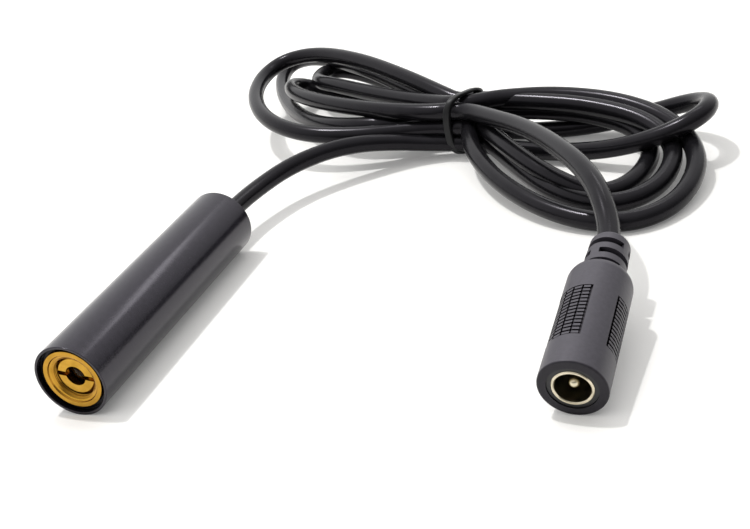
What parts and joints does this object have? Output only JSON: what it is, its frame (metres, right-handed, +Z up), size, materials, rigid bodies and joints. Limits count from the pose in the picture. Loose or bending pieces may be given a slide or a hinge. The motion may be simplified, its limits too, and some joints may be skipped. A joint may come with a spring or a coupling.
{
  "type": "laser diode module",
  "caption": "Round black laser diode module with a recessed slotted brass lens nut, a tied hank of round black cord and a moulded barrel power socket.",
  "frame": {"origin": "on the surface the module lies on, under the middle of its housing", "axes": "+Y along the housing from its beam end to its cord end, +Z up, +X to the right seen from the beam end's side"},
  "size_m": [0.1501, 0.1836, 0.0193],
  "materials": {
    "black_anodised": "satin black anodised",
    "brass": "turned, bare",
    "lens_glass": "polished",
    "window_glass": "polished",
    "diode_metal": "plated",
    "gold_leads": "gold plated",
    "board_green": "solder mask",
    "chip_black": "moulded",
    "ferrite_grey": "sintered",
    "capacitor_tan": "ceramic",
    "resistor_white": "ceramic with tinned ends",
    "red_insulation": "extruded",
    "black_insulation": "extruded",
    "clamp_steel": "zinc plated",
    "cord_black": "extruded soft plastic",
    "tie_black": "satin",
    "jack_grey": "moulded, satin",
    "core_black": "moulded",
    "nickel": "nickel plated"
  },
  "bodies": {
    "housing": {"housing_tube": "black_anodised", "diode_mount": "brass", "diode_base": "diode_metal", "diode_can": "diode_metal", "diode_window": "window_glass", "diode_leads": "gold_leads", "driver_board": "board_green", "driver_chip": "chip_black", "board_inductor": "ferrite_grey", "board_capacitors": "capacitor_tan", "board_resistors": "resistor_white", "red_wire": "red_insulation", "black_wire": "black_insulation", "rear_cap": "black_anodised", "cord_clamp": "clamp_steel", "lead_cord": "cord_black", "cord_hank": "cord_black", "jack_cord": "cord_black", "cord_tie": "tie_black", "jack_shell": "jack_grey", "jack_core": "core_black", "jack_sleeve": "nickel", "jack_pin": "nickel", "jack_leaf_contact": "nickel", "jack_red_wire": "red_insulation", "jack_black_wire": "black_insulation"},
    "lens": {"collimating_lens": "lens_glass"},
    "focus_nut": {"lens_nut": "brass"}
  },
  "joints": [
    {"name": "focus_travel", "type": "slide", "parent": "housing", "child": "lens", "axis": [0, 1, 0], "range_m": [-0.0005, 0.0005]},
    {"name": "focus_turn", "type": "hinge", "parent": "lens", "child": "focus_nut", "pos_m": [0, -0.031, 0.008], "axis": [0, 1, 0], "range_deg": [-360, 360]}
  ],
  "couplings": [
    {"joint": "focus_turn", "follows": "focus_travel", "rad_per_m": 12566}
  ]
}
